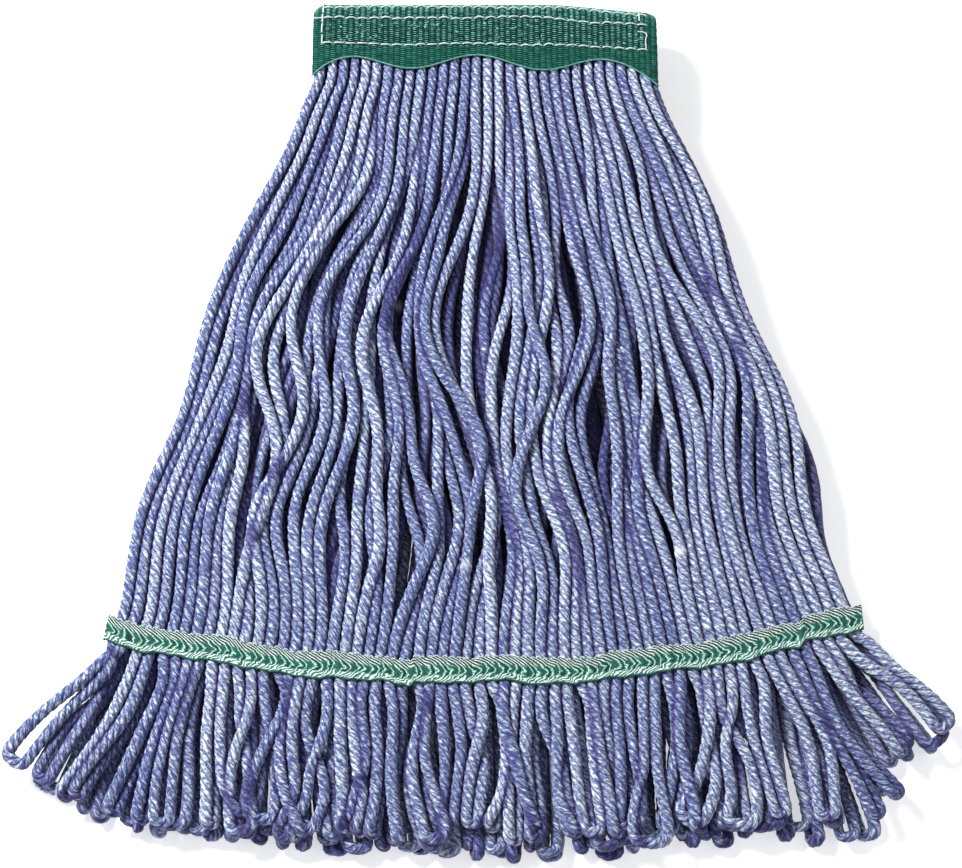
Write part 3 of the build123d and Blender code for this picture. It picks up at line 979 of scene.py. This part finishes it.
def buildStitches():
    rng = np.random.default_rng(21)
    places = []
    halfRow = bandHalf - 0.0052
    starts = np.arange(-halfRow, halfRow - stitches["pitch"] * 0.5, stitches["pitch"])
    for side in (1, -1):
        for path in stitches["rows"]:
            wobble = path + softNoise(rng, len(starts) + 1, 1, 2.0, 0)[:, 0] * 0.0005
            places += zip(starts, side * wobble, starts + stitches["length"], side * wobble[1:])
    # rows that close the ends: the whole left end, and the top of the right end
    for x, last in ((-halfRow, stitches["rows"][2]), (halfRow - 0.004, turnPath(60))):
        stops = np.arange(turnPath(32), last, 0.0062)
        places += [(x, path, x + rng.normal(0, 0.0002), path + 0.0056) for path in stops]
    parts = [sweep(stitchLines(places, rng), stitches["radius"], 6, uvSize=stitchUv)]
    # loose thread ends: a tail at the left of the middle row, a hook at the right of the hem row
    hem, middle = stitches["rows"][2], stitches["rows"][1]
    for steps in (
        ((-bandHalf - 0.0012, middle - 0.0022), (-bandHalf + 0.0016, middle - 0.0014), (-halfRow + 0.0006, middle)),
        ((halfRow - 0.0050, middle + 0.0040), (halfRow - 0.0012, middle + 0.0038),
         (halfRow - 0.0002, middle + 0.0066), (halfRow - 0.0014, middle + 0.0096), (halfRow - 0.0008, hem + 0.0012)),
    ):
        steps = np.array(steps)
        guide = bandSurface(np.clip(steps[:, 0], -bandHalf, bandHalf), steps[:, 1], 0.0008)
        guide[:, 0] = steps[:, 0]
        parts.append(sweep(smoothLines(guide[None], 6), 0.00034, 6, uvSize=stitchUv))
    piece = makeObject("headband_stitches", parts, threadMaterial)
    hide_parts("fold_stitches", "upper_hem_stitches", "lower_hem_stitches")
    bendRoundFold(piece)


buildStitches()


def buildLiner(side):
    name = halfNames[side]
    low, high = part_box(f"{name}_inner_mesh")
    z = (low.z + high.z) / 2
    sheet, verts = startSheet(f"{name}_liner", 60, 12)
    verts[:, 0] *= high.x - 0.0003
    verts[:, 1] = (low.y + high.y) / 2 + verts[:, 1] * (high.y - low.y - 0.0006) / 2
    verts[:, 2] = z + side * 0.0001
    # the liner's sheet carries the painted shade of the mesh's holes too
    finishSheet(sheet, verts, 0.0004, holeShadeMaterial)
    columns = int((high.x - low.x) / band["column"])
    xs = (np.arange(columns + 1) / columns * 2 - 1) * (high.x - 0.0006)
    ys = np.linspace(low.y + 0.0004, high.y - 0.0004, 24)
    lines = joined(xs[:, None], ys, z - side * 0.0001)
    rows = np.arange(low.y + 0.0008, high.y - 0.0006, band["rung"])[:, None]
    stepX = np.linspace(xs[0], xs[-1], columns * 2 + 1)
    weaveZ = z - side * (0.0001 + 0.00008 * np.cos(np.arange(len(stepX)) * math.pi))
    weave = joined(stepX, rows, weaveZ)
    parts = [sweep(lines, 0.00036, 6, uvSize=threadUv), sweep(weave, 0.00030, 5, uvSize=threadUv)]
    threads = makeObject(f"{name}_liner_threads", parts, meshMaterial)
    for piece in (sheet, threads):
        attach(piece, f"{name}_headband")
    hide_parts(f"{name}_inner_mesh")


buildLiner(1)
buildLiner(-1)
print("liners and stitches ready")

tape = {
    "chevron": 0.0034,
    "thickness": 0.0008,
    "tucks": ((-0.0341, 0.0030), (0.0188, -0.0010), (0.0869, 0.0008), (0.1489, 0.0030)),
}


def tapeCentre(x, wavy):
    y = tapeLine(x)
    if wavy:
        y = y - tapeDrop
        for place, jump in tape["tucks"]:
            step = smoothstep(x, place - 0.0012, place + 0.0012)
            after, before = np.exp(-np.clip(x - place, 0, None) / 0.03), np.exp(np.clip(x - place, None, 0) / 0.03)
            y = y + jump * (step * after - (1 - step) * before) * 0.5
        y = y + 0.0008 * np.sin(x * 95 + 0.8) + 0.0004 * np.sin(x * 240) + 0.0003 * np.sin(x * 530 + 2)
    return y


def tapeSwell(x):
    # the tape is a little wider in some places
    return 0.97 - 0.05 * np.cos(x * 130) + 0.03 * np.sin(x * 310 + 1)


def buildTape(node, strands, side, outer):
    name = node.split("_")[0]
    low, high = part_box(node)
    half = high.x - (0.0020 if outer else 0.0006)
    strip, verts = startSheet(node + "_weave", 520, 13)
    across = verts[:, 1]
    # the cut ends slant outwards a little, more so at the left
    slant = np.where(verts[:, 0] < 0, -0.0022, 0.0008) * smoothstep(np.abs(verts[:, 0]), 0.96, 1.0) * (1 - across) / 2
    x = verts[:, 0] * half + (slant if outer else 0)
    # the cloth rises over each strand and sinks a little between them
    nearest = np.abs(x[:, None] - strands[tapeRow, 0 if outer else 1, :, 0]).min(axis=1)
    swell = np.clip(1 - (nearest / yarn["radius"]) ** 2, 0, 1)
    lift = 0.00045 * (swell - 1) if outer else 0.0
    facing = side if outer else -side
    face = (high.z if facing > 0 else low.z) - facing * (tape["thickness"] / 2)
    tuck = np.zeros_like(x)
    if outer and side > 0:
        for place, _ in tape["tucks"]:
            tuck += 0.0011 * np.exp(-((x - place) / 0.0014) ** 2)
    y = tapeCentre(x, outer) + across * tapeWidth / 2 * tapeSwell(x)
    z = face + facing * (lift + tuck - 0.00025 * across**2)
    # tape threads: shallow ribs across the strip
    z = z + facing * 0.00010 * np.cos(2 * math.pi * (x / tape["chevron"] + np.abs(across) * 1.5))
    loops = np.empty(len(strip.data.loops), np.int32)
    strip.data.loops.foreach_get("vertex_index", loops)
    uv = joined(-x / tape["chevron"], (across + 1) / 2)
    strip.data.uv_layers[0].name = "UVMap"
    strip.data.uv_layers[0].data.foreach_set("uv", uv[loops].astype(np.float32).reshape(-1))
    finishSheet(strip, joined(x, y, z), tape["thickness"], tapeMaterial)
    bpy.ops.object.shade_smooth()
    # picots: small thread loops along the upper edge
    turn = np.linspace(0, math.pi, 8)
    lines = []
    rng = np.random.default_rng(31)
    for centre in np.arange(-half + 0.002, half - 0.002, tape["chevron"]):
        centre = centre + rng.normal(0, 0.0003)
        height = rng.uniform(0.0004, 0.0011)
        px = centre + 0.0009 * np.cos(turn)
        edge = tapeCentre(np.full(8, centre), outer) + tapeWidth / 2 * tapeSwell(centre) - 0.0004
        lines.append(joined(px, edge + height * np.sin(turn), face + facing * 0.0001))
    picots = makeObject(node + "_picots", [sweep(np.array(lines), 0.00034, 6, uvSize=stitchUv)], threadMaterial)
    for piece in (strip, picots):
        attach(piece, f"{name}_skirt")
    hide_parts(node)


for layer in ("outer", "inner"):
    buildTape(f"upper_{layer}_tape", upperStrands, 1, layer == "outer")
    buildTape(f"lower_{layer}_tape", lowerStrands, -1, layer == "outer")
for node in ("upper_tape_ties", "lower_tape_ties"):
    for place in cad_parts[node].material_slots:
        place.material = threadMaterial
print("tail tapes ready")
